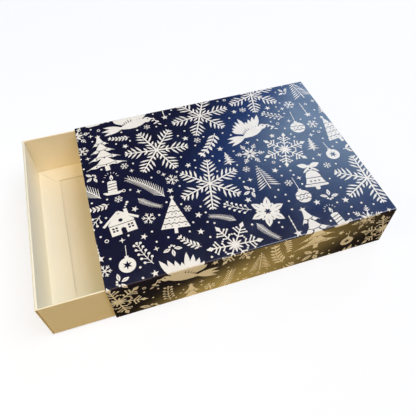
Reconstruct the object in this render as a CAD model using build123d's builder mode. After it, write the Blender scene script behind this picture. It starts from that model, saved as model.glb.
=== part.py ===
from build123d import *
import os

# A slide box folded from two cards: a printed sleeve, open at both ends, and a tray.
# Sizes are in millimetres. X runs along the slide, Y across the box, Z up.
# The origin is the middle of the face that the sleeve rests on.

# Sleeve
sleeve_length = 160.0
sleeve_width = 121.0
sleeve_height = 31.5
sleeve_board = 0.45
sleeve_fold = 0.8  # outside radius of the long folds
seam_flap = 15.0  # glued on the inside of the bottom panel, along the back
seam_flap_taper = 3.0  # how far each end of the flap is cut back at its free edge
seam_edge_setback = 0.3  # from the back face to the bottom panel's raw edge
glue_film = 0.05
glue_margin = 1.5  # from the glue to the flap's edges

# Play between the tray and the sleeve
side_play = 0.4
top_play = 0.35
floor_play = 0.4  # over the seam flap
mouth_setback = 0.5  # from each mouth to the rim of the closed tray
pull_out = 33.0  # from the left mouth to the tray's rim, as the box stands

# Tray
tray_board = 0.34
tray_fold = 0.45  # outside radius where the outer layers turn up from the floor
tab_fold = 0.7  # outside radius where a long wall turns into its corner tab
fold_margin = 0.2  # flat board kept beside a fold before the next stretch joins it
spine_fold = 0.45  # outside radius of the two folds along an end wall's top
flange_fold = 0.45  # outside radius where an inner layer turns onto the floor
rolled_air = 0.15  # between the two layers of a long wall
layer_air = 0.05  # between layers that lie on each other
tab_air = 0.15  # between an end wall's outer layer and the tabs behind it
end_lean = 0.1  # how far an end wall's outer layer leans out at its top
end_flange = 13.0
long_flange = 12.2
flange_corner = 10.0  # from an end wall to the long walls' flanges' corners
flange_spring = 0.3  # how far a flange's free edge stands up from the floor
mitre_gap = 0.15  # between two flanges along their slanting ends
tab_length = 24.0
tab_taper = 4.0
tab_drop = 0.3  # from an end wall's spine down to the tabs inside it

# The tray as a whole
tray_floor_z = 2 * sleeve_board + glue_film + floor_play
tray_height = sleeve_height - sleeve_board - top_play - tray_floor_z
tray_x = -(pull_out + mouth_setback)
half_width = sleeve_width / 2 - sleeve_board - side_play
half_rim = sleeve_length / 2 - mouth_setback
half_base = half_rim - end_lean

# The layers of its walls, measured from the tray's middle
inner_y = half_width - 2 * tray_board - rolled_air
panel_end_y = inner_y - layer_air
tab_outer_x = half_base - tray_board - tab_air
inner_x = tab_outer_x - 2 * tray_board - layer_air
rolled_end_x = inner_x - layer_air
floor_x = half_base - tray_fold - fold_margin
floor_y = half_width - tray_fold - fold_margin
outer_end_x = tab_outer_x - tab_fold
tab_start_x = outer_end_x - fold_margin

# Levels of middle lines and edges, measured from the tray's underside
floor_mid = tray_board / 2
flange_mid = 1.5 * tray_board + layer_air
rim_mid = tray_height - tray_board / 2
tab_bottom = tray_fold + layer_air
tab_top = tray_height - tray_board - tab_drop

tray_floor = Plane(origin=(tray_x, 0, tray_floor_z))
across_tray = Plane(origin=tray_floor.origin, x_dir=(0, 1, 0), z_dir=(1, 0, 0))
along_tray = Plane(origin=tray_floor.origin, x_dir=(1, 0, 0), z_dir=(0, -1, 0))
tray_middle = Plane(origin=tray_floor.origin, z_dir=(1, 0, 0))


def middle_radius(outside_radius, board):
    """Radius of a fold's middle line."""
    return outside_radius - board / 2


# The sleeve's card: seam flap, back, top, front and bottom in one strip
with BuildPart() as sleeve_card:
    with BuildSketch(Plane.YZ.offset(-sleeve_length / 2)):
        with BuildLine():
            side_mid = (sleeve_width - sleeve_board) / 2
            top_mid = sleeve_height - sleeve_board / 2
            flap_mid = 1.5 * sleeve_board + glue_film
            FilletPolyline(
                (side_mid - seam_flap, flap_mid),
                (side_mid, flap_mid),
                (side_mid, top_mid),
                (-side_mid, top_mid),
                (-side_mid, sleeve_board / 2),
                (sleeve_width / 2 - seam_edge_setback, sleeve_board / 2),
                radius=middle_radius(sleeve_fold, sleeve_board),
            )
        trace(line_width=sleeve_board)
    extrude(amount=sleeve_length)

    # The flap's two ends, cut back towards its free edge
    with BuildSketch(Plane.XY.offset(sleeve_board + glue_film / 2)):
        for end in (-1, 1):
            Polygon(
                (end * sleeve_length / 2, side_mid - sleeve_fold),
                (end * sleeve_length / 2, side_mid - seam_flap),
                (end * (sleeve_length / 2 - seam_flap_taper), side_mid - seam_flap),
                align=None,
            )
    extrude(amount=sleeve_board + glue_film, mode=Mode.SUBTRACT)

# The glue between the seam flap and the bottom panel
with BuildPart() as sleeve_seam_glue:
    with BuildSketch(Plane.XY.offset(sleeve_board)):
        glue_back = side_mid - sleeve_fold - glue_margin
        glue_front = side_mid - seam_flap + glue_margin
        glue_end = sleeve_length / 2 - seam_flap_taper - glue_margin
        Polygon(
            (-glue_end, glue_front),
            (glue_end, glue_front),
            (glue_end, glue_back),
            (-glue_end, glue_back),
            align=None,
        )
    extrude(amount=glue_film)

# Half of the back wall: outer layer, rolled rim, inner layer and floor flange
with BuildPart() as long_wall:
    with BuildSketch(across_tray):
        with BuildLine():
            roll = (tray_board + rolled_air) / 2
            outer_mid = half_width - tray_board / 2
            outer_layer = FilletPolyline(
                (floor_y, floor_mid),
                (outer_mid, floor_mid),
                (outer_mid, rim_mid - roll),
                radius=middle_radius(tray_fold, tray_board),
            )
            rim = CenterArc((outer_mid - roll, rim_mid - roll), roll, 0, 180)
            inner_layer = FilletPolyline(
                rim @ 1,
                (outer_mid - 2 * roll, flange_mid),
                (inner_y - long_flange, flange_mid + flange_spring),
                radius=middle_radius(flange_fold, tray_board),
            )
        trace(line_width=tray_board)
    extrude(amount=rolled_end_x)

    # The flange's slanting end
    slack = mitre_gap / 2**0.5
    flange_depth = tray_board + flange_fold + flange_spring
    with BuildSketch(tray_floor.offset(tray_board + layer_air / 2)):
        Polygon(
            (inner_x, inner_y),
            (inner_x - slack, inner_y),
            (inner_x - slack - flange_corner, inner_y - long_flange - layer_air),
            (inner_x, inner_y - long_flange - layer_air),
            align=None,
        )
    extrude(amount=flange_depth, mode=Mode.SUBTRACT)

    # The rest of the outer layer, low enough to pass under the end wall's spine
    with BuildSketch(across_tray.offset(rolled_end_x)):
        with BuildLine():
            FilletPolyline(
                (floor_y, floor_mid),
                (outer_mid, floor_mid),
                (outer_mid, tab_top),
                radius=middle_radius(tray_fold, tray_board),
            )
        trace(line_width=tray_board)
    extrude(amount=outer_end_x - rolled_end_x)

    # The corner tab, folded off the outer layer and tucked between the end wall's layers
    with BuildSketch(tray_floor.offset(tab_bottom)):
        with BuildLine():
            tab_mid = tab_outer_x - tray_board / 2
            FilletPolyline(
                (tab_start_x, outer_mid),
                (tab_mid, outer_mid),
                (tab_mid, outer_mid - tab_length),
                radius=middle_radius(tab_fold, tray_board),
            )
        trace(line_width=tray_board)
    extrude(amount=tab_top - tab_bottom)
    tab_end = faces().filter_by(Axis.Y).sort_by(Axis.X)[-1]
    chamfer(tab_end.edges().filter_by(Axis.X), length=tab_taper)

# Half of the right end wall: leaning outer layer, spine, upright inner layer and floor flange
with BuildPart() as end_wall:
    with BuildSketch(along_tray):
        with BuildLine():
            FilletPolyline(
                (floor_x, floor_mid),
                (half_base - tray_board / 2, floor_mid),
                (half_rim - tray_board / 2, rim_mid),
                (inner_x + tray_board / 2, rim_mid),
                (inner_x + tray_board / 2, flange_mid),
                (inner_x - end_flange, flange_mid + flange_spring),
                radius=[
                    middle_radius(tray_fold, tray_board),
                    middle_radius(spine_fold, tray_board),
                    middle_radius(spine_fold, tray_board),
                    middle_radius(flange_fold, tray_board),
                ],
            )
        trace(line_width=tray_board)
    extrude(amount=-panel_end_y)

    # The flange's end, cut to pass in front of the long wall's flange
    with BuildSketch(tray_floor.offset(tray_board + layer_air / 2)):
        Polygon(
            (inner_x, inner_y),
            (inner_x, inner_y - slack),
            (inner_x - flange_corner, inner_y - slack - long_flange),
            (inner_x - end_flange - layer_air, inner_y - slack - long_flange),
            (inner_x - end_flange - layer_air, inner_y),
            align=None,
        )
    extrude(amount=flange_depth, mode=Mode.SUBTRACT)

    # The outer layer and the spine run on over the long wall's end
    with BuildSketch(along_tray.offset(-panel_end_y)):
        with BuildLine():
            FilletPolyline(
                (floor_x, floor_mid),
                (half_base - tray_board / 2, floor_mid),
                (half_rim - tray_board / 2, rim_mid),
                (inner_x, rim_mid),
                radius=[
                    middle_radius(tray_fold, tray_board),
                    middle_radius(spine_fold, tray_board),
                ],
            )
        trace(line_width=tray_board)
    extrude(amount=panel_end_y - half_width)

# The tray's card: its floor and walls, one corner mirrored to the other three
with BuildPart() as tray_card:
    with BuildSketch(tray_floor):
        Rectangle(floor_x, floor_y, align=(Align.MIN, Align.MIN))
    extrude(amount=tray_board)
    add(long_wall.part)
    add(end_wall.part)
    mirror(about=Plane.XZ)
    mirror(about=tray_middle)

os.makedirs("parts", exist_ok=True)
sleeve_card.part.label = "sleeve_card"
export_step(sleeve_card.part, "parts/sleeve_card.step")
sleeve_seam_glue.part.label = "sleeve_seam_glue"
export_step(sleeve_seam_glue.part, "parts/sleeve_seam_glue.step")
tray_card.part.label = "tray_card"
export_step(tray_card.part, "parts/tray_card.step")
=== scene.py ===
"""A slide box for candles: a printed paperboard sleeve and the pearl card tray that slides in it.

Lengths are in metres, except on the flat sheet that the print is drawn on, which is in millimetres.
X runs along the slide, Y towards the back and Z up.
"""

import random
from math import atan, ceil, cos, dist, hypot, inf, pi, radians, sin, tau

import bpy
import numpy as np
from bpy.props import FloatProperty, FloatVectorProperty, IntProperty, PointerProperty
from mathutils import Matrix, Vector
from mathutils.geometry import delaunay_2d_cdt


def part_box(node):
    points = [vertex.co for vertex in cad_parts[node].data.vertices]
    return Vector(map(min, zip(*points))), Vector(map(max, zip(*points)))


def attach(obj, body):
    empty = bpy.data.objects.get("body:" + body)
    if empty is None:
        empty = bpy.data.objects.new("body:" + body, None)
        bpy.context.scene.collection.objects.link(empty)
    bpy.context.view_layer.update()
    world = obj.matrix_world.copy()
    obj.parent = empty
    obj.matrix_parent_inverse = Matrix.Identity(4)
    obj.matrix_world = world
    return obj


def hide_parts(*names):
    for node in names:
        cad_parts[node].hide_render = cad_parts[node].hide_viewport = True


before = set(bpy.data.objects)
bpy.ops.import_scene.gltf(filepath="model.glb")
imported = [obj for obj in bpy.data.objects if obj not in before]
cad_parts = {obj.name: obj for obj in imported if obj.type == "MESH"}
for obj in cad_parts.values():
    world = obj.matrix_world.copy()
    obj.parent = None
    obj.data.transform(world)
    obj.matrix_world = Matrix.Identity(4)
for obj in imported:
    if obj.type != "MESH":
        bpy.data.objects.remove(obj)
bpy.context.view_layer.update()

bl_info = {
    "name": "Candle slide box",
    "version": (1, 0, 0),
    "blender": (4, 5, 0),
    "location": "3D View > Sidebar > Candle Box",
    "description": "Builds a printed paperboard slide box round its packed frame",
    "category": "Object",
}

MM = 0.001
SLEEVE_LOW, SLEEVE_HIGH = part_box("sleeve_card")
_, TRAY_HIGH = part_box("tray_card")

# The angle between two faces, in degrees, from which on their edge is shaded sharp
SHARP_EDGE = 30
# How near two corners of an ornament's outlines are made one, in millimetres
WELD = 0.001
# Thickness of the thread that an ornament hangs on, in millimetres
THREAD = 0.36


def from_screen(*screen):
    """A colour given as 0 to 255 on a screen, as the linear values that a shader takes."""
    return tuple(((c / 255 + 0.055) / 1.055) ** 2.4 if c > 10 else c / 3295 for c in screen)


def length(name, description, default):
    """A property for a length in metres."""
    kind = {"subtype": "DISTANCE", "unit": "LENGTH", "precision": 5}
    return FloatProperty(name=name, description=description, default=default, min=0, **kind)


def colour(name, description, screen):
    """A property for a colour, with its default as seen on a screen."""
    kind = {"subtype": "COLOR", "size": 3, "min": 0, "max": 1}
    return FloatVectorProperty(name=name, description=description, default=from_screen(*screen), **kind)


# Settings


class SleeveSettings(bpy.types.PropertyGroup):
    """The printed sleeve's board."""

    board: length("Board", "Thickness of the sleeve's board with its print", 0.45 * MM)
    fold: length("Fold", "Outside radius of the long folds", 0.8 * MM)
    flap: length("Seam flap", "Width of the flap glued inside the bottom panel", 15 * MM)
    flap_taper: length("Flap taper", "How far the flap's ends are cut back at its free edge", 3 * MM)
    glue: length("Glue film", "Gap that the glue fills between flap and bottom panel", 0.05 * MM)
    setback: length("Seam setback", "From the back face to the bottom panel's raw edge", 0.3 * MM)
    ground: colour("Ground", "The dark blue that the sleeve is printed with", (13, 14, 44))
    inside: colour("Inside", "The unprinted side of the board", (232, 229, 222))
    core: colour("Core", "The board's cut edges", (214, 208, 196))
    dried_glue: colour("Glue", "The dried glue of the seam", (222, 205, 160))


class PrintSettings(bpy.types.PropertyGroup):
    """The pale winter print on the sleeve."""

    ink: length("Ink", "Thickness of the pale ink", 0.02 * MM)
    pale: colour("Pale ink", "The ivory of the ornaments", (241, 234, 217))
    gap: length("Gap", "Least distance between two ornaments", 1.5 * MM)
    flake: length("Large snowflake", "Radius of the largest snowflakes", 20 * MM)
    fir: length("Large fir", "Height of the largest fir trees", 33 * MM)
    seed: IntProperty(name="Layout", description="Number that the layout is drawn from", default=24, min=0)


class TraySettings(bpy.types.PropertyGroup):
    """The tray's pearl card."""

    card: colour("Pearl card", "The tray's champagne card", (252, 239, 206))
    crease: colour("Crease", "The card where it is creased or rubbed", (205, 184, 144))


class StageSettings(bpy.types.PropertyGroup):
    """The floor, the lamps and the camera."""

    floor: colour("Floor", "The pale floor and backdrop", (226, 206, 145))
    # The colour of a warm pool of light painted into the floor, which glows only in what gloss sees of it
    painted_gleam: colour("Gleam", "The warm light that gloss catches from the floor", (255, 213, 116))
    lens: FloatProperty(
        name="Lens", description="Focal length of the camera", default=36.06, min=1, unit="CAMERA"
    )
    level: FloatProperty(
        name="Light", description="Strength of all the lamps together", default=1, min=0, subtype="FACTOR"
    )


class CandleBoxSettings(bpy.types.PropertyGroup):
    """All the settings of the slide box."""

    sleeve: PointerProperty(type=SleeveSettings)
    print: PointerProperty(type=PrintSettings)
    tray: PointerProperty(type=TraySettings)
    stage: PointerProperty(type=StageSettings)


# Shader expressions


class Wire:
    """One value inside a material, which adds Math nodes when it is used in an expression."""

    def __init__(self, finish, socket):
        self.finish = finish
        self.socket = socket

    def math(self, operation, *values):
        """The result of a Math node on some values or links."""
        return self.finish.node("Math", {"operation": operation}, values)

    def __add__(self, other):
        return self.math("ADD", self, other)

    def __sub__(self, other):
        return self.math("SUBTRACT", self, other)

    def __rsub__(self, other):
        return self.math("SUBTRACT", other, self)

    def __mul__(self, other):
        return self.math("MULTIPLY", self, other)

    __radd__ = __add__
    __rmul__ = __mul__

    def __abs__(self):
        return self.math("ABSOLUTE", self)

    def ramp(self, start, end):
        """0 up to start, 1 from end on, and smooth between them."""
        sockets = {"Value": self, "From Min": start, "From Max": end}
        return self.finish.node("MapRange", {"interpolation_type": "SMOOTHSTEP"}, sockets)


class Finish:
    """A material, or the world, and the nodes behind its surface."""

    def __init__(self, name, group=bpy.data.materials):
        self.material = group.new(name)
        self.material.use_nodes = True
        self.tree = self.material.node_tree
        self.tree.nodes.clear()

    def node(self, kind, settings=None, sockets=(), output=0):
        """Adds a node of a kind, with its settings first, then the values or links of its sockets."""
        made = self.tree.nodes.new("ShaderNode" + kind)
        for name, value in (settings or {}).items():
            setattr(made, name, value)
        for key, value in sockets.items() if isinstance(sockets, dict) else enumerate(sockets):
            if isinstance(value, Wire):
                self.tree.links.new(value.socket, made.inputs[key])
            else:
                made.inputs[key].default_value = value
        return Wire(self, made.outputs[output])

    def place(self):
        """The point's own place on the piece, as a vector in metres."""
        return self.node("TexCoord", output="Object")

    def axes(self):
        """The point's X, Y and Z in millimetres."""
        place = self.place()
        return [self.node("SeparateXYZ", sockets=[place], output=axis) * (1 / MM) for axis in "XYZ"]

    def noise(self, size, detail=2.0, stretch=(1, 1, 1)):
        """Noise from 0 to 1 whose grains are about a size in millimetres."""
        scale = tuple(1 / (size * MM * part) for part in stretch)
        place = self.node("VectorMath", {"operation": "MULTIPLY"}, [self.place(), scale])
        return self.node("TexNoise", sockets={"Vector": place, "Scale": 1.0, "Detail": detail})

    def mix(self, factor, first, second):
        """A colour between two others."""
        colours = [c if isinstance(c, Wire) else tuple(c) + (1,) for c in (first, second)]
        sockets = {0: factor, 6: colours[0], 7: colours[1]}
        return self.node("Mix", {"data_type": "RGBA"}, sockets, output=2)

    def relief(self, height):
        """The normal of a surface whose height is given in millimetres."""
        return self.node("Bump", sockets={"Height": height, "Distance": MM, "Strength": 1.0})

    def surface(self, **sockets):
        """The material's surface, from the values or links of its named sockets."""
        named = {name.replace("_", " "): value for name, value in sockets.items()}
        return self.close(self.node("BsdfPrincipled", sockets=named))

    def close(self, shader, kind="OutputMaterial"):
        """Links a shader to the output and gives back the material."""
        output = self.tree.nodes.new("ShaderNode" + kind)
        self.tree.links.new(shader.socket, output.inputs["Surface"])
        return self.material


def shade(colour_value, factor):
    """A colour made darker or lighter."""
    return tuple(min(1.0, c * factor) for c in colour_value)


# Finishes


def fold_rub(finish, fold):
    """How near a point is to the sleeve's long outside folds, from 0 to 1."""
    _, y, z = finish.axes()
    side = SLEEVE_HIGH[1] / MM - fold
    middle = SLEEVE_HIGH[2] / MM / 2
    edge = middle - fold
    return abs(y).ramp(side - 0.5, side + 0.1) * abs(z - middle).ramp(edge - 0.5, edge + 0.1)


def mouth_rub(finish):
    """How near a point is to the sleeve's open ends, from 0 to 1."""
    x, _, _ = finish.axes()
    end = SLEEVE_HIGH[0] / MM
    return abs(x).ramp(end - 0.7, end)


def film_relief(finish):
    """The board under the satin film: a slow waviness and the faint grain of its fibres."""
    wave = finish.noise(26, 1.0) * 0.05
    grain = finish.noise(0.6, 3.0) * 0.004
    return finish.relief(wave + grain)


def filmed(finish, tone, gloss):
    """A printed surface under the satin film, which has faint handling marks."""
    marks = finish.noise(14, 4.0).ramp(0.35, 0.75)
    roughness = 0.19 + 0.07 * marks + 0.05 * finish.noise(0.8, 2.0)
    normal = film_relief(finish)
    return finish.surface(Base_Color=tone, Roughness=roughness, Normal=normal, Specular_IOR_Level=gloss)


def ground_finish(settings):
    """Dark blue print under a satin film, rubbed a little at folds and mouths."""
    finish = Finish("navy_print_under_satin_film")
    mottle = finish.noise(9, 5.0).ramp(0.3, 0.7)
    printed = finish.mix(mottle, shade(settings.ground, 0.82), shade(settings.ground, 1.12))
    flecks = finish.noise(0.9, 3.0, (3, 1, 1)).ramp(0.58, 0.72)
    rub = fold_rub(finish, settings.fold / MM) * flecks * 0.55 + mouth_rub(finish) * flecks * 0.7
    bare = from_screen(150, 150, 165)
    return filmed(finish, finish.mix(rub, printed, bare), gloss=0.9)


def ink_finish(settings, fold):
    """Pale ink under the same film, a little uneven and worn thin on the folds."""
    finish = Finish("ivory_ink_under_satin_film")
    cover = finish.noise(5, 5.0).ramp(0.25, 0.75)
    printed = finish.mix(cover, shade(settings.pale, 0.95), shade(settings.pale, 1.02))
    flecks = finish.noise(0.7, 3.0, (3, 1, 1)).ramp(0.5, 0.66)
    worn = finish.mix(fold_rub(finish, fold) * flecks * 0.4, printed, shade(settings.pale, 0.6))
    return filmed(finish, worn, gloss=0.25)


def board_finish(name, base, roughness):
    """Bare paperboard: short fibres that lie mostly along the sheet."""
    finish = Finish(name)
    fibres = finish.noise(0.35, 4.0, (4, 1, 1))
    cloud = finish.noise(12, 3.0)
    tone = finish.mix(fibres * 0.6 + cloud * 0.4, shade(base, 0.93), shade(base, 1.05))
    return finish.surface(
        Base_Color=tone,
        Roughness=roughness + 0.08 * cloud,
        Normal=finish.relief(fibres * 0.004),
        Specular_IOR_Level=0.3,
    )


def glue_finish(settings):
    """Dried glue: a yellowish film with a few bubbles."""
    finish = Finish("dried_seam_glue")
    bubbles = finish.noise(1.2, 2.0).ramp(0.55, 0.7)
    tone = finish.mix(bubbles, shade(settings.dried_glue, 0.9), shade(settings.dried_glue, 1.1))
    relief = finish.relief(bubbles * 0.01)
    return finish.surface(Base_Color=tone, Roughness=0.3 + 0.2 * bubbles, Normal=relief)


def pearl_finish(settings):
    """Pearl card: champagne board with a soft metallic bloom and fine flakes, rubbed at its rims."""
    finish = Finish("champagne_pearl_card")
    _, _, z = finish.axes()
    cloud = finish.noise(22, 3.0)
    fibres = finish.noise(0.4, 4.0, (3, 1, 1))
    tone = finish.mix(cloud * 0.5 + fibres * 0.5, shade(settings.card, 0.95), shade(settings.card, 1.04))
    top = TRAY_HIGH[2] / MM
    rim = z.ramp(top - 0.5, top)
    scuffs = finish.noise(0.7, 4.0, (2, 2, 1)).ramp(0.5, 0.75)
    worn = finish.mix(rim * scuffs * 0.15, tone, settings.crease)
    flakes = finish.noise(0.16, 1.0).ramp(0.55, 0.75)
    return finish.surface(
        Base_Color=worn,
        Metallic=0.12 + 0.25 * flakes,
        Roughness=0.44 + 0.1 * cloud - 0.08 * flakes,
        Normal=finish.relief(fibres * 0.002 + finish.noise(30, 1.0) * 0.05),
        Specular_IOR_Level=0.5,
    )


def floor_finish(settings):
    """Pale floor, white to the camera but for the shadow near the object, with a pool of warm light painted
    into what gloss sees.
    """
    finish = Finish("pale_floor")
    rays = ("Is Camera Ray", "Is Glossy Ray", "Is Transmission Ray")
    camera, glossy, transmission = (finish.node("LightPath", output=ray) for ray in rays)
    seen = camera.math("MAXIMUM", camera, glossy.math("MAXIMUM", glossy, transmission))
    paint_colour = finish.mix(camera, settings.floor, (1, 1, 1))
    lit = {"Base Color": paint_colour, "Roughness": 1.0, "Specular IOR Level": 0.0}
    matt = finish.node("BsdfPrincipled", sockets=lit)
    # The painted gleam glows this much brighter than the white that the camera sees
    strength = 2.0
    # Gloss sees the painted pool of warm light here, the camera plain white
    glow = finish.mix(camera, painted_light_pool(finish, settings.painted_gleam), (1 / strength,) * 3)
    white_and_painted_glow = finish.node("Emission", sockets={"Color": glow, "Strength": strength})
    distance = finish.node("VectorMath", {"operation": "LENGTH"}, [finish.place()], output="Value")
    # How much of the shadow the camera sees, and where it starts and ends to fade, in metres
    depth, start, end = 0.22, 0.25, 0.8
    shadow = depth * camera * (1 - distance.ramp(start, end))
    return finish.close(finish.node("MixShader", sockets=[seen - shadow, matt, white_and_painted_glow]))


def painted_light_pool(finish, painted_pool_colour):
    """The floor's painted pool of warm light, seen only in gloss: brightest beside the box, and further
    right and dimmer as it leaves the box.
    """
    x, y, _ = finish.axes()
    # From 0 at the box's sides to 1 where the painted pool is furthest right, then how far right its middle
    # is
    away = abs(y).ramp(58, 78)
    middle = 56 * away - 24
    left_fade, right_fade = 56, 76
    faded = (middle - x).ramp(0, left_fade) + (x - middle).ramp(0, right_fade)
    # The painted pool's colour: dimmer further from the box, and nearly black beyond its edges
    return finish.mix(faded, finish.mix(away, painted_pool_colour, shade(painted_pool_colour, 0.8)), shade(painted_pool_colour, 0.03))


def room_finish(level):
    """The room: white to the camera and a faint glow to all else."""
    finish = Finish("soft_room", bpy.data.worlds)
    camera = finish.node("LightPath", output="Is Camera Ray")
    strength = level + (1 - level) * camera
    glow = finish.node("Background", sockets={"Color": (1, 1, 1, 1), "Strength": strength})
    return finish.close(glow, "OutputWorld")


# Meshes


def new_object(name, data):
    """An object in the scene that shows a mesh, a lamp or a camera."""
    made = bpy.data.objects.new(name, data)
    bpy.context.scene.collection.objects.link(made)
    return made


def new_mesh(name, corners, faces):
    mesh = bpy.data.meshes.new(name)
    mesh.from_pydata(corners, [], faces)
    return mesh


def new_piece(name, corners, faces, places, body):
    """A piece that rides on a body and is shaded smooth except at sharp edges.

    The places are the flat layout of its finish, kept as a UV map, one for each face's corner.
    """
    mesh = new_mesh(name, corners, faces)
    mesh.polygons.foreach_set("use_smooth", [True] * len(mesh.polygons))
    mesh.set_sharp_from_angle(angle=radians(SHARP_EDGE))
    layer = mesh.uv_layers.new(name="OFBake")
    layer.data.foreach_set("uv", np.asarray(places, float).ravel())
    piece = new_object(name, mesh)
    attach(piece, body)
    return piece


class Wrap:
    """The way round the sleeve's outside, from the bottom panel's raw edge by the front and top to the flap.

    All lengths are in millimetres. A knot is a place where the flat sheet bends.
    """

    arc_steps = 6

    def __init__(self, settings):
        self.board = settings.board / MM
        self.length = (SLEEVE_HIGH[0] - SLEEVE_LOW[0]) / MM
        side = SLEEVE_HIGH[1] / MM
        top = SLEEVE_HIGH[2] / MM
        fold = settings.fold / MM
        raise_flap = self.board + settings.glue / MM
        flap_end = side - self.board / 2 - settings.flap / MM
        self.knots = [(0, side - settings.setback / MM, 0, 0, -1)]
        self._arc(-side + fold, fold, fold, -90, -180)
        self._arc(-side + fold, top - fold, fold, 180, 90)
        self._arc(side - fold, top - fold, fold, 90, 0)
        self.print_end = self.knots[-1][0] + top - raise_flap - 2 * fold
        self._arc(side - fold, raise_flap + fold, fold, 0, -90)
        self.flap_start = self.knots[-1][0]
        self._run_to(flap_end, raise_flap, 0, -1)
        self.knots = np.array(self.knots, float)
        self.end = self.knots[-1, 0]

    def _run_to(self, y, z, normal_y, normal_z):
        way, last_y, last_z = self.knots[-1][:3]
        self.knots.append((way + hypot(y - last_y, z - last_z), y, z, normal_y, normal_z))

    def _arc(self, y, z, radius, start, end):
        for step in range(self.arc_steps + 1):
            turn = radians(start + (end - start) * step / self.arc_steps)
            normal = cos(turn), sin(turn)
            self._run_to(y + radius * normal[0], z + radius * normal[1], *normal)

    def points(self, along, way, depth):
        """Places in metres of points on the sheet, a depth under the board's outer face."""
        ways, *tracks = self.knots.T
        y, z, normal_y, normal_z = (np.interp(way, ways, track) for track in tracks)
        return np.stack([along, y - depth * normal_y, z - depth * normal_z], axis=1) * MM


def sleeve_mesh(wrap, settings, ink):
    """Corners, faces, face materials and layout of the sleeve's board.

    The materials are 0 for the printed face, 1 for the inside and 2 for the cut edges.
    """
    way = wrap.knots[:, 0]
    count = len(way)
    on_flap = np.clip((way - wrap.flap_start) / (wrap.end - wrap.flap_start), 0, 1)
    half = wrap.length / 2 - settings.flap_taper / MM * on_flap
    rings = [wrap.points(end * half, way, depth) for end in (-1, 1) for depth in (ink, wrap.board)]
    corners = np.concatenate(rings)
    left_out, left_in, right_out, right_in = (count * k for k in range(4))
    across = way / wrap.end
    faces, finishes, places = [], [], []

    def add(face, finish, place):
        faces.append(face)
        finishes.append(finish)
        places.extend(place)

    for k in range(count - 1):
        a, b = across[k], across[k + 1]
        bands = (
            (left_out, right_out, 0, 0.0, 0.48),
            (right_in, left_in, 1, 0.5, 0.95),
            (left_in, left_out, 2, 0.96, 0.97),
            (right_out, right_in, 2, 0.975, 0.985),
        )
        for near, far, finish, low, high in bands:
            face = (far + k, far + k + 1, near + k + 1, near + k)
            add(face, finish, [(a, high), (b, high), (b, low), (a, low)])
    last = count - 1
    for face, low in (
        ((left_in, left_out, right_out, right_in), 0.99),
        ((right_in + last, right_out + last, left_out + last, left_in + last), 0.995),
    ):
        high = low + 0.004
        add(face, 2, [(0, low), (0, high), (1, high), (1, low)])
    return corners, faces, finishes, places


# Outlines of the ornaments, in millimetres, and the strokes that they are made of


def turned(outline, angle, shift=(0, 0)):
    """An outline turned by an angle about its origin, then shifted."""
    c, s = cos(angle), sin(angle)
    return [(shift[0] + c * x - s * y, shift[1] + s * x + c * y) for x, y in outline]


def towards(start, heading, reach):
    """The place at a distance from another, on a heading measured from up."""
    return start[0] + reach * sin(heading), start[1] + reach * cos(heading)


def left_of(start, end):
    """The direction that points left for one who looks from start to end."""
    right, up = end[0] - start[0], end[1] - start[1]
    span = hypot(right, up)
    return -up / span, right / span


def disc(x, y, radius):
    sides = max(8, round(6 + 5 * radius))
    turns = (tau * k / sides for k in range(sides))
    return [(x + radius * cos(t), y + radius * sin(t)) for t in turns]


def bar(start, end, width, end_width=None):
    """A straight strip that may taper."""
    side_x, side_y = left_of(start, end)
    a = width / 2
    b = (width if end_width is None else end_width) / 2
    corners = ((start, a), (start, -a), (end, -b), (end, b))
    return [(x + half * side_x, y + half * side_y) for (x, y), half in corners]


def thickened(line, width):
    """A band as high as a width, which hangs from a line."""
    return line + [(x, y - width) for x, y in reversed(line)]


def leaf(start, end, width, belly=1.0):
    """A pointed leaf. A belly above 1 moves its widest place towards its start."""
    (x, y), (to_x, to_y) = start, end
    side_x, side_y = left_of(start, end)
    steps = 6
    right, left = [], []
    for k in range(steps + 1):
        t = (k / steps) ** belly
        half = width / 2 * sin(pi * k / steps)
        at_x, at_y = x + t * (to_x - x), y + t * (to_y - y)
        right.append((at_x - half * side_x, at_y - half * side_y))
        left.append((at_x + half * side_x, at_y + half * side_y))
    return right + left[-2:0:-1]


def star(x, y, radius, points=5, waist=0.42):
    outline = []
    for k in range(2 * points):
        reach = radius * (waist if k % 2 else 1)
        angle = pi / 2 + pi * k / points
        outline.append((x + reach * cos(angle), y + reach * sin(angle)))
    return outline


def mirrored(half, size=1):
    """A closed outline from its right half, listed from the bottom up in parts of a size."""
    right = [(x * size, y * size) for x, y in half]
    return right + [(-x, y) for x, y in reversed(right) if x]


# The ornaments, each given as two lists of outlines: what is inked, and what is left bare in it


def six_fold(arm, between=()):
    """A snowflake from the strokes of one arm and of one gap between two arms."""
    inks = []
    for k in range(6):
        inks += [turned(outline, k * tau / 6) for outline in arm]
        inks += [turned(outline, (k + 0.5) * tau / 6) for outline in between]
    return inks, []


def barbs(radius, rows, out, up):
    """The start and tip of each barb of an arm, from rows of how far up it starts and how long it is."""
    for at, reach in rows:
        for side in (-1, 1):
            yield (0, radius * at), (side * reach * radius * out, radius * (at + reach * up))


def feathered_flake(radius):
    """Snowflake with arms that carry leaf-shaped barbs."""
    arm = [bar((0, 0), (0, radius * 0.96), radius * 0.06, radius * 0.03)]
    rows = ((0.26, 0.2), (0.42, 0.34), (0.58, 0.3), (0.73, 0.22), (0.86, 0.14))
    arm += [leaf(*ends, radius * 0.058) for ends in barbs(radius, rows, sin(0.87), cos(0.87))]
    return six_fold(arm, [leaf((0, radius * 0.1), (0, radius * 0.34), radius * 0.06)])


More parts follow.
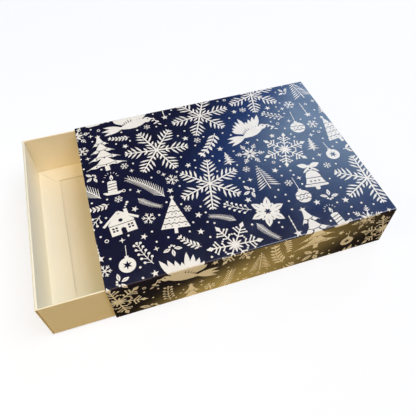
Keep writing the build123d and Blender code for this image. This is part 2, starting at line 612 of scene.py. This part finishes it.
def plated_flake(radius):
    """Snowflake with kite-shaped tips and a star at its heart."""
    side = radius * 0.085
    kite = [(0, radius * 0.7), (side, radius * 0.84), (0, radius), (-side, radius * 0.84)]
    arm = [bar((0, 0), (0, radius * 0.8), radius * 0.045), kite]
    for base, tip in barbs(radius, ((0.34, 0.16), (0.5, 0.27), (0.62, 0.17)), 0.866, 0.5):
        arm += [bar(base, tip, radius * 0.042), disc(*tip, radius * 0.038)]
    spoke = leaf((0, radius * 0.02), (0, radius * 0.3), radius * 0.08)
    return six_fold(arm, [spoke, disc(0, radius * 0.44, radius * 0.035)])


def petalled_flake(radius):
    """Snowflake with broad petals inside and forked arms outside."""
    arm = [
        leaf((0, radius * 0.06), (0, radius * 0.52), radius * 0.17),
        bar((0, radius * 0.5), (0, radius * 0.93), radius * 0.05),
        disc(0, radius * 0.95, radius * 0.05),
    ]
    arm += [leaf(*ends, radius * 0.065) for ends in barbs(radius, ((0.56, 0.26), (0.72, 0.19)), 0.72, 0.7)]
    spoke = bar((0, radius * 0.1), (0, radius * 0.42), radius * 0.035)
    return six_fold(arm, [spoke, star(0, radius * 0.5, radius * 0.085, 4, 0.35)])


def small_flake(radius):
    """Plain snowflake of six forked strokes."""
    arm = [bar((0, 0), (0, radius), radius * 0.13)]
    for side in (-1, 1):
        arm.append(bar((0, radius * 0.5), (side * radius * 0.27, radius * 0.82), radius * 0.11))
    return six_fold(arm)


def tiered_fir(height):
    """Fir tree of four tiers with hung edges and round ornaments left blank."""
    inks = [bar((0, 0), (0, height * 0.12), height * 0.085)]
    cuts = []
    for tier in range(4):
        low = height * (0.1 + 0.195 * tier)
        half = height * (0.4 - 0.078 * tier)
        hem = [
            (half * (k / 4 - 1), low + height * (0.024 * (k % 2) + 0.018 * sin(pi * k / 8)))
            for k in range(9)
        ]
        waist = low + height * 0.12
        inks.append(hem + [(half * 0.4, waist), (0, low + height * 0.31), (-half * 0.4, waist)])
        for k in range(3 - tier // 2):
            at = (k - (2 - tier // 2) / 2) * half * 0.46
            cuts.append(disc(at, low + height * 0.05, height * 0.016))
        sag = [
            (half * 0.5 * (k / 3 - 1), low + height * (0.105 - 0.03 * sin(pi * k / 6)))
            for k in range(7)
        ]
        cuts.append(thickened(sag, height * 0.013))
    inks.append(star(0, height * 0.955, height * 0.062))
    return inks, cuts


def needled_fir(height):
    """Fir tree drawn as a stem with drooping boughs."""
    inks = [bar((0, 0), (0, height * 0.93), height * 0.035, height * 0.015)]
    boughs = 9
    for k in range(boughs):
        at = height * (0.2 + 0.76 * k / boughs)
        reach = height * 0.34 * (1 - k / boughs) ** 0.85 + height * 0.03
        tips = [(side * reach, at - reach * 0.42) for side in (-1, 1)]
        inks += [leaf((0, at), tip, height * 0.036, belly=0.8) for tip in tips]
    inks.append(star(0, height * 0.96, height * 0.045, 4, 0.35))
    return inks, []


def banded_fir(height):
    """Fir tree as a tall triangle cut by waves, with dots between them."""
    half = height * 0.3
    low = height * 0.13
    cone = [(half, low), (0, height * 0.92), (-half, low)]
    inks = [bar((0, 0), (0, height * 0.14), height * 0.07), cone, star(0, height * 0.94, height * 0.06)]
    cuts = []
    for band in range(4):
        level = height * (0.26 + 0.15 * band)
        reach = half * (1 - (level - low) / (height * 0.79)) + height * 0.03
        waves = 4 * (5 - band)
        ridge = [
            (reach * (2 * k / waves - 1), level + height * 0.016 * sin(pi * k / 2 + band))
            for k in range(waves + 1)
        ]
        cuts.append(thickened(ridge, height * 0.02))
        for k in range(4 - band):
            cuts.append(disc(reach * 0.5 * (k - (3 - band) / 2), level - height * 0.075, height * 0.014))
    return inks, cuts


def bow(width, height):
    """The strokes of a ribbon bow."""
    loops = []
    for side in (-1, 1):
        loops.append(leaf((0, height), (side * width / 2, height + width * 0.16), width * 0.26))
        loops.append(leaf((0, height), (side * width * 0.36, height - width * 0.34), width * 0.11))
    return loops + [disc(0, height, width * 0.09)]


def ribboned_bell(height):
    """Bell with a bow, a loop, a clapper and two cut bands."""
    lip = [(0.07, 0.12), (0.36, 0.14), (0.37, 0.19), (0.3, 0.27)]
    crown = [(0.25, 0.4), (0.23, 0.55), (0.17, 0.69), (0.07, 0.76)]
    inks = [mirrored(lip + crown, height)]
    inks += [disc(0, height * level, height * 0.075) for level in (0.07, 0.84)]
    cuts = [disc(0, height * 0.85, height * 0.038)]
    for level, reach in ((height * 0.235, height * 0.4), (height * 0.47, height * 0.3)):
        cuts.append(bar((-reach, level), (reach, level), height * 0.028))
    for k in range(-1, 2):
        cuts.append(star(k * height * 0.125, height * 0.345, height * 0.048, 4, 0.4))
    return inks + bow(height * 0.72, height * 0.93), cuts


def candle(height):
    """Candle in a dish, with a halo of short rays."""
    wide = height * 0.15
    inks = [
        mirrored([(0.15, 0.12), (0.15, 0.56), (0.075, 0.6)], height),
        mirrored([(0.2, 0), (0.31, 0.085), (0.3, 0.115)], height),
        disc(height * 0.35, height * 0.09, height * 0.062),
        bar((0, height * 0.58), (0, height * 0.66), height * 0.02),
        leaf((0, height * 0.64), (0, height * 0.88), height * 0.12, belly=1.3),
    ]
    cuts = [
        disc(height * 0.35, height * 0.09, height * 0.034),
        leaf((0, height * 0.67), (0, height * 0.76), height * 0.045),
    ]
    for k in range(3):
        low = height * (0.2 + 0.12 * k)
        cuts.append(bar((-wide, low), (wide, low + height * 0.05), height * 0.028))
    for k in range(-3, 4):
        turn = k * 0.46
        near, far = (
            (height * reach * sin(turn), height * (0.76 + reach * cos(turn)))
            for reach in (0.19, 0.25)
        )
        inks.append(bar(near, far, height * 0.02))
    return inks, cuts


def cottage(width):
    """Snowed-in cottage with lit windows."""
    half = width * 0.36
    eaves = width * 0.42
    ridge = width * 0.78
    inks = [mirrored([(half, 0), (half, eaves), (width * 0.08, ridge * 0.9)])]
    for side in (-1, 1):
        inks.append(bar((0, ridge), (side * width / 2, eaves * 0.92), width * 0.075))
    inks.append(bar((width * 0.22, ridge * 0.72), (width * 0.22, ridge * 1.04), width * 0.1))
    for k in range(3):
        inks.append(disc(width * (0.25 + 0.05 * k), ridge * (1.12 + 0.09 * k), width * (0.026 + 0.008 * k)))
    cuts = [
        bar((-half * 1.05, width * 0.335), (half * 1.05, width * 0.335), width * 0.022),
        mirrored([(0.07, 0), (0.07, 0.17), (0, 0.22)], width),
    ]
    for side in (-1, 1):
        for x in (-0.045, 0.045):
            for y in (0.12, 0.21):
                at = side * width * 0.22 + x * width
                cuts.append(bar((at, y * width), (at, (y + 0.06) * width), width * 0.06))
    cuts.append(disc(0, width * 0.47, width * 0.06))
    return inks, cuts


def bauble(radius, drop):
    """The strokes of a round ornament on a thread."""
    cap = radius * 1.24
    ball = [disc(0, 0, radius), bar((0, radius * 0.9), (0, cap), radius * 0.46)]
    return ball + [bar((0, cap), (0, cap + drop), THREAD)]


def wavy_bauble(radius):
    """Bauble with dots between two waves."""
    cuts = []
    for level in (-0.34, 0.34):
        ridge = [
            (radius * (k / 6 - 1), radius * (level + 0.09 * sin(pi * k / 2)))
            for k in range(13)
        ]
        cuts.append(thickened(ridge, radius * 0.13))
    cuts += [disc(radius * 0.45 * k, -radius * 0.06, radius * 0.1) for k in (-1, 0, 1)]
    return bauble(radius, radius * 2.1), cuts


def starry_bauble(radius):
    return bauble(radius, radius * 1.5), [star(0, 0, radius * 0.62, 6, 0.4)]


def dove(span):
    """Dove in flight with a twig in its beak."""
    inks = [
        leaf((-0.26 * span, -0.02 * span), (0.36 * span, 0.14 * span), span * 0.22),
        disc(0.31 * span, 0.13 * span, span * 0.075),
        bar((0.36 * span, 0.14 * span), (0.45 * span, 0.13 * span), span * 0.06, span * 0.01),
    ]
    for x, y in ((-0.56, -0.14), (-0.6, -0.03), (-0.56, 0.09)):
        inks.append(leaf((-0.17 * span, 0), (x * span, y * span), span * 0.09))
    for root, first, feathers in ((-0.02, 0.1, 5), (0.14, -0.5, 4)):
        for k in range(feathers):
            turn = first + 0.17 * k
            reach = span * (0.5 - 0.055 * k)
            base = (span * (root - 0.035 * k), span * 0.07)
            inks.append(leaf(base, towards(base, -turn, reach), span * 0.095, belly=0.7))
    inks.append(bar((0.44 * span, 0.15 * span), (0.5 * span, -0.02 * span), span * 0.016))
    for k in range(4):
        base = (span * (0.46 + 0.015 * k), span * (0.1 - 0.045 * k))
        side = 1 if k % 2 else -1
        inks.append(leaf(base, (base[0] + side * span * 0.07, base[1] - span * 0.05), span * 0.035))
    return inks, [disc(0.33 * span, 0.15 * span, span * 0.017)]


def homing_dove(span):
    """The dove seen flying the other way."""
    return [[[(-x, y) for x, y in outline] for outline in part] for part in dove(span)]


def hung_star(size):
    """Star on a long thread with beads."""
    inks = [star(0, 0, size), bar((0, size * 0.8), (0, size * 5), THREAD)]
    inks += [disc(0, size * k, size * 0.2) for k in (1.7, 2.5, 3.5)]
    return inks, []


def rosette(radius):
    """Winter flower of two rings of veined petals round a beaded heart."""
    inks, cuts = [], []
    for reach, width, start, offset in ((1.0, 0.4, 0.45, 0.0), (0.66, 0.34, 0.3, 0.5)):
        for k in range(6):
            turn = (k + offset) * tau / 6
            petal = leaf((0, radius * 0.1), (0, radius * reach), radius * width, belly=0.9)
            inks.append(turned(petal, turn))
            vein = leaf((0, radius * start), (0, radius * reach * 0.86), radius * 0.035)
            cuts.append(turned(vein, turn))
    cuts += [turned(disc(radius * 0.15, 0, radius * 0.04), tau * k / 6) for k in range(6)]
    return inks, cuts


def sprig(span, bend, count, width, reach, taper, spread, drawn):
    """A bent stem with a pair of leaves, needles or berries at each step, and one at its tip."""
    inks, last = [], (0, 0)
    for k in range(count):
        t = (k + 0.5) / count
        place = (bend * span * t * t, span * t)
        heading = atan(2 * bend * t)
        inks.append(bar(last, place, span * width))
        last = place
        for side in (-1, 1):
            inks += drawn(place, towards(place, heading + side * spread, span * (reach - taper * t)))
    return inks + drawn(last, towards(last, heading, span * 0.16)), []


def leafy_sprig(span):
    """Bent twig with pairs of leaves."""

    def drawn(base, tip):
        return [leaf(base, tip, span * 0.085)]

    return sprig(span, 0.3, 6, 0.024, 0.27, 0.1, 0.8, drawn)


def pine_sprig(span):
    """Bent twig with two rows of thin needles."""
    needle = span * 0.019

    def drawn(base, tip):
        return [bar(base, tip, needle, needle / 2)]

    return sprig(span, -0.25, 15, 0.02, 0.25, 0.1, 0.62, drawn)


def berry_sprig(span):
    """Thin twig with berries on short stalks."""

    def drawn(base, tip):
        return [bar(base, tip, span * 0.022), disc(*tip, span * 0.052)]

    return sprig(span, 0.2, 5, 0.028, 0.24, 0.08, 0.85, drawn)


def evergreen_knot(span):
    """Three veined leaves and three berries."""
    inks, cuts = [], []
    for turn in (-1.3, 0.0, 1.3):
        way = Vector((sin(turn), cos(turn))) * span
        base, vein, vein_end, tip = (way * reach for reach in (0.1, 0.2, 0.52, 0.62))
        inks.append(leaf(base, tip, span * 0.23))
        cuts.append(leaf(vein, vein_end, span * 0.035))
    for turn in (2.2, 3.14, 4.08):
        inks.append(disc(*towards((0, 0), turn, span * 0.18), span * 0.075))
    return inks, cuts


def five_point_star(radius):
    return [star(0, 0, radius)], []


def four_point_star(radius):
    return [star(0, 0, radius, 4, 0.3)], []


def dot(radius):
    return [disc(0, 0, radius)], []


def ring(radius):
    return [disc(0, 0, radius)], [disc(0, 0, radius * 0.62)]


# The print


def counter_clockwise(outline):
    area = sum(a[0] * b[1] - b[0] * a[1] for a, b in zip(outline, outline[1:] + outline[:1]))
    return outline if area > 0 else outline[::-1]


def inside(points, outline):
    """Which points lie inside an outline."""
    x, y = points[:, :1], points[:, 1:]
    a = np.array(outline)
    b = np.roll(a, -1, axis=0)
    crosses = (a[:, 1] > y) != (b[:, 1] > y)
    rise = np.where(b[:, 1] == a[:, 1], 1, b[:, 1] - a[:, 1])
    meets = a[:, 0] + (y - a[:, 1]) * (b[:, 0] - a[:, 0]) / rise
    return (crosses & (x < meets)).sum(1) % 2 == 1


def covered(inks):
    """Points that an ornament covers, a step apart, with its outlines' corners."""
    step = 0.7
    corners = np.array([corner for outline in inks for corner in outline])
    low, high = corners.min(0), corners.max(0)
    grid = np.stack(np.meshgrid(*(np.arange(low[k], high[k], step) for k in (0, 1))), -1).reshape(-1, 2)
    filled = np.zeros(len(grid), bool)
    for outline in inks:
        filled |= inside(grid, outline)
    return np.concatenate([grid[filled], corners])


class Sheet:
    """The flat printed sheet, on which ornaments are laid so that none touch.

    What is taken is kept on a grid of square cells, which reaches a margin past the sheet's edges.
    """

    cell = 0.5
    margin = 20

    def __init__(self, wrap, gap, chance):
        self.chance = chance
        self.size = np.array([wrap.length, wrap.print_end])
        self.taken = np.zeros(tuple(((self.size + 2 * self.margin) / self.cell).astype(int)), bool)
        reach = ceil(gap / self.cell)
        steps = range(-reach, reach + 1)
        self.round = np.array([(i, j) for i in steps for j in steps if hypot(i, j) * self.cell <= gap])
        self.laid = []
        self.centres = {}

    def _on_grid(self, cells):
        return cells[((cells >= 0) & (cells < self.taken.shape)).all(1)]

    def _free_place(self, body, others, lean, reach, tries):
        """The free place furthest from others: its room, middle, turn and cells, or None."""
        best = None
        for _ in range(tries):
            turn = self.chance.uniform(-lean, lean)
            along = self.chance.uniform(-reach, reach)
            centre = np.array([along, self.chance.uniform(0, self.size[1])])
            c, s = cos(turn), sin(turn)
            placed = body @ np.array([[c, s], [-s, c]]) + centre
            from_corner = placed + [self.size[0] / 2 + self.margin, self.margin]
            cells = self._on_grid((from_corner / self.cell).astype(int))
            if self.taken[cells[:, 0], cells[:, 1]].any():
                continue
            room = min((dist(centre, other) for other in others), default=inf)
            if best is None or room > best[0]:
                best = (room, centre, turn, cells)
            if room == inf:
                break
        return best

    def lay(self, tries, kinds):
        """Lays one ornament of each kind, as far from others of its family as the free places allow."""
        for family, draw, size, lean, inset in kinds:
            inks, cuts = draw(size * self.chance.uniform(0.94, 1.06))
            others = self.centres.setdefault(family, [])
            best = self._free_place(covered(inks), others, lean, self.size[0] / 2 - inset, tries)
            if best is None:
                continue
            _, centre, turn, cells = best
            others.append(centre)
            near = self._on_grid((cells[:, None] + self.round).reshape(-1, 2))
            self.taken[near[:, 0], near[:, 1]] = True
            self.laid.append([[turned(outline, turn, centre) for outline in part] for part in (inks, cuts)])


def winter_layout(wrap, settings):
    """The ornaments of the whole sheet, large ones first and dots last."""
    flake = settings.flake / MM
    fir = settings.fir / MM
    upright, swaying, any_way = 0.16, 0.32, pi
    # Family, drawing, size, greatest lean, and how far from the sleeve's mouths its middle stays
    large = (
        ("flakes", feathered_flake, flake, any_way, 0),
        ("firs", tiered_fir, fir, upright, 0),
        ("doves", dove, fir * 0.95, swaying, fir * 0.6),
        ("flakes", plated_flake, flake * 0.75, any_way, 0),
        ("houses", cottage, flake, upright, flake * 0.6),
        ("flowers", rosette, flake * 0.54, any_way, flake * 0.6),
        ("flakes", feathered_flake, flake, any_way, 0),
        ("firs", tiered_fir, fir, upright, 0),
        ("doves", homing_dove, fir * 0.95, swaying, fir * 0.6),
        ("flakes", plated_flake, flake * 0.75, any_way, 0),
        ("firs", banded_fir, fir * 0.8, upright, 0),
        ("bells", ribboned_bell, flake * 0.95, swaying, flake * 0.5),
    )
    medium = (
        ("flakes", petalled_flake, flake * 0.45, any_way, 0),
        ("twigs", pine_sprig, 25, any_way, 0),
        ("baubles", wavy_bauble, 4.6, upright, 4),
        ("firs", needled_fir, fir * 0.6, upright, 0),
        ("twigs", leafy_sprig, 19, any_way, 0),
        ("candles", candle, fir * 0.5, upright, 6),
        ("knots", evergreen_knot, 13, any_way, 0),
        ("baubles", starry_bauble, 4.2, upright, 4),
        ("stars", hung_star, 2.4, upright, 0),
    )
    small = (
        ("twigs", berry_sprig, 14, any_way, 0),
        ("firs", tiered_fir, fir * 0.34, upright, 0),
        ("knots", evergreen_knot, 8.5, any_way, 0),
        ("twigs", pine_sprig, 13, any_way, 0),
        ("twigs", leafy_sprig, 12, any_way, 0),
        ("flakes", small_flake, 3.8, any_way, 0),
    )
    sheet = Sheet(wrap, settings.gap / MM, random.Random(settings.seed))
    sheet.lay(160, large * 3 + large[:6])
    sheet.lay(120, medium * 7)
    sheet.lay(100, small * 14)
    for tries, count, *kind in (
        (60, 46, "stars", five_point_star, 2.1, any_way, 0),
        (60, 30, "flakes", small_flake, 2.4, any_way, 0),
        (60, 50, "stars", four_point_star, 1.7, 0.2, 0),
        (60, 24, "rings", ring, 1.1, 0, 0),
        (30, 280, "dots", dot, 0.62, 0, 0),
    ):
        sheet.lay(tries, [kind] * count)
    return sheet.laid


def cut_out(inks, cuts, wrap):
    """Triangles of one ornament, cut at the sheet's edges and at each knot of the folds."""
    corners, edges, faces = [], [], []
    for outline in inks + cuts:
        first = len(corners)
        corners += counter_clockwise(outline)
        faces.append(list(range(first, len(corners))))
    spread = np.array(corners)
    low, high = spread.min(0) - 1, spread.max(0) + 1
    half = wrap.length / 2
    lines = [((low[0], way), (high[0], way)) for way in wrap.knots[:, 0] if low[1] < way < high[1]]
    lines += [((x, low[1]), (x, high[1])) for x in (-half, half) if low[0] < x < high[0]]
    for line in lines:
        edges.append((len(corners), len(corners) + 1))
        corners += line
    flat = [Vector(corner) for corner in corners]
    points, _, triangles, _, _, sources = delaunay_2d_cdt(flat, edges, faces, 0, WELD)
    points = np.array([tuple(p) for p in points])
    kept = []
    for triangle, source in zip(triangles, sources):
        x, way = points[list(triangle)].mean(0)
        on_sheet = abs(x) < half and 0 < way < wrap.print_end
        if source and on_sheet and max(source) < len(inks):
            kept.append(tuple(triangle))
    return points, kept


def print_mesh(wrap, settings):
    """Corners, faces and layout of all the ink, each ornament a thin closed layer."""
    ink = settings.ink / MM
    corners, faces, places = [], [], []
    first = 0
    for inks, cuts in winter_layout(wrap, settings):
        points, triangles = cut_out(inks, cuts, wrap)
        if not triangles:
            continue
        used = sorted({corner for triangle in triangles for corner in triangle})
        index = {corner: k for k, corner in enumerate(used)}
        points = points[used]
        count = len(used)
        top = [tuple(index[c] for c in triangle) for triangle in triangles]
        sides = {(a, b) for t in top for a, b in zip(t, t[1:] + t[:1])}
        rims = sorted((a, b) for a, b in sides if (b, a) not in sides)
        for depth in (0, ink):
            corners.append(wrap.points(points[:, 0], points[:, 1], depth))
        across = points[:, 1] / wrap.print_end
        along = 0.005 + 0.48 * (points[:, 0] / wrap.length + 0.5)
        spots = np.concatenate([np.stack([across, along], 1), np.stack([across, along + 0.5], 1)])
        solid = top + [tuple(c + count for c in t[::-1]) for t in top]
        solid += [(b, a, a + count, b + count) for a, b in rims]
        faces += [tuple(first + c for c in face) for face in solid]
        places += [spots[c] for face in solid for c in face]
        first += 2 * count
    return np.concatenate(corners), faces, places


# Operators


class Builder:
    """What the operators share: each builds its pieces from the box's settings."""

    def execute(self, context):
        self.build(context.scene.candle_box)
        return {"FINISHED"}


class SleeveOperator(Builder, bpy.types.Operator):
    """Makes the sleeve's board, folded round and open at both ends"""

    bl_idname = "candle_box.sleeve"
    bl_label = "Sleeve"

    def build(self, settings):
        sleeve = settings.sleeve
        corners, faces, finishes, places = sleeve_mesh(Wrap(sleeve), sleeve, settings.print.ink / MM)
        piece = new_piece("sleeve_wrap", corners, faces, places, "sleeve")
        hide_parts("sleeve_card")
        piece.data.materials.append(ground_finish(sleeve))
        piece.data.materials.append(board_finish("white_sleeve_inside", sleeve.inside, 0.78))
        piece.data.materials.append(board_finish("cut_board_edge", sleeve.core, 0.85))
        piece.data.polygons.foreach_set("material_index", finishes)


class PrintOperator(Builder, bpy.types.Operator):
    """Prints the sleeve with pale winter ornaments that run on over its folds"""

    bl_idname = "candle_box.print"
    bl_label = "Winter print"

    def build(self, settings):
        corners, faces, places = print_mesh(Wrap(settings.sleeve), settings.print)
        piece = new_piece("sleeve_print", corners, faces, places, "sleeve")
        piece.data.materials.append(ink_finish(settings.print, settings.sleeve.fold / MM))


class GlueOperator(Builder, bpy.types.Operator):
    """Gives the seam's glue its finish"""

    bl_idname = "candle_box.seam_glue"
    bl_label = "Seam glue"

    def build(self, settings):
        paint("sleeve_seam_glue", glue_finish(settings.sleeve))


class TrayOperator(Builder, bpy.types.Operator):
    """Gives the tray its pearl card"""

    bl_idname = "candle_box.tray"
    bl_label = "Tray"

    def build(self, settings):
        paint("tray_card", pearl_finish(settings.tray))


def paint(node, material):
    """Gives every part of a CAD node one material."""
    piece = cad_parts[node]
    if not piece.material_slots:
        raise RuntimeError(f"{node} has no material slot to paint")
    for part in piece.material_slots:
        part.material = material


class StageOperator(Builder, bpy.types.Operator):
    """Sets up the floor, the soft lamps and the camera"""

    bl_idname = "candle_box.stage"
    bl_label = "Stage"

    camera_place = Vector((-0.0604, -0.16046, 0.21289))
    camera_aim = Vector((0.18508, 0.57999, -0.79332))
    camera_roll = radians(-0.3)
    sensor = 36
    floor_reach = 40
    room_glow = 0.05
    # Name, degrees from the back towards the right, height in degrees, distance, size, watts and tint
    lamps = (
        ("overhead_softbox", 108, 60, 5.2, 3.2, 234, (0.78, 0.85, 1.0)),
        ("wide_window", 45, 35, 1.3, 1.0, 3.6, (0.0, 0.21, 1.0)),
        ("window_core", 45, 35, 1.29, 0.6, 3.0, (0.68, 0.91, 1.0)),
        ("warm_lamp", 190, 50, 1.3, 0.8, 2.3, (1.0, 0.38, 0.0)),
        ("side_fill", -110, 55, 0.4, 0.24, 0.5, (1.0, 0.94, 0.72)),
    )

    def build(self, settings):
        self.make_camera(settings.stage)
        self.make_floor(settings.stage)
        self.make_light(settings.stage)

    def make_camera(self, settings):
        view = bpy.data.cameras.new("camera")
        view.lens = settings.lens
        view.sensor_width = self.sensor
        view.clip_start = 0.005
        view.clip_end = 200
        camera = new_object("camera", view)
        right = self.camera_aim.cross(Vector((0, 0, 1))).normalized()
        right.rotate(Matrix.Rotation(self.camera_roll, 3, -self.camera_aim))
        back = -self.camera_aim.normalized()
        up = back.cross(right)
        turn = Matrix((right, up, back)).transposed()
        camera.matrix_world = Matrix.Translation(self.camera_place) @ turn.to_4x4()
        bpy.context.scene.camera = camera

    def make_floor(self, settings):
        reach = self.floor_reach
        corners = [(x * reach, y * reach, 0) for x, y in ((-1, -1), (1, -1), (1, 1), (-1, 1))]
        mesh = new_mesh("floor", corners, [(0, 1, 2, 3)])
        mesh.materials.append(floor_finish(settings))
        floor = new_object("floor", mesh)

    def make_light(self, settings):
        scene = bpy.context.scene
        scene.view_settings.view_transform = "Standard"
        scene.world = room_finish(self.room_glow * settings.level)
        for name, azimuth, elevation, distance, size, power, tint in self.lamps:
            turn, rise = radians(azimuth), radians(elevation)
            way = Vector((sin(turn) * cos(rise), cos(turn) * cos(rise), sin(rise)))
            lamp = bpy.data.lights.new(name, "AREA")
            lamp.shape = "SQUARE"
            lamp.size = size
            lamp.energy = power * settings.level
            lamp.color = tint
            holder = new_object(name, lamp)
            holder.location = way * distance
            holder.rotation_euler = holder.location.to_track_quat("Z", "Y").to_euler()


class CandleBoxPanel(bpy.types.Panel):
    """Lists the box's pieces with their settings"""

    bl_idname = "CANDLEBOX_PT_pieces"
    bl_label = "Candle Box"
    bl_space_type = "VIEW_3D"
    bl_region_type = "UI"
    bl_category = "Candle Box"

    def draw(self, context):
        settings = context.scene.candle_box
        self.layout.operator(GlueOperator.bl_idname)
        rows = (
            (SleeveOperator, settings.sleeve),
            (PrintOperator, settings.print),
            (TrayOperator, settings.tray),
            (StageOperator, settings.stage),
        )
        for operator, group in rows:
            self.layout.operator(operator.bl_idname)
            for name in group.bl_rna.properties.keys():
                if name not in ("rna_type", "name"):
                    self.layout.prop(group, name)


CLASSES = (
    SleeveSettings, PrintSettings, TraySettings, StageSettings, CandleBoxSettings,
    SleeveOperator, PrintOperator, GlueOperator, TrayOperator, StageOperator, CandleBoxPanel,
)


def register():
    for item in CLASSES:
        bpy.utils.register_class(item)
    bpy.types.Scene.candle_box = PointerProperty(type=CandleBoxSettings)


def unregister():
    del bpy.types.Scene.candle_box
    for item in reversed(CLASSES):
        bpy.utils.unregister_class(item)


def main():
    register()
    bpy.ops.candle_box.stage()
    bpy.ops.candle_box.sleeve()
    bpy.ops.candle_box.print()
    bpy.ops.candle_box.seam_glue()
    bpy.ops.candle_box.tray()


if __name__ == "__main__":
    main()
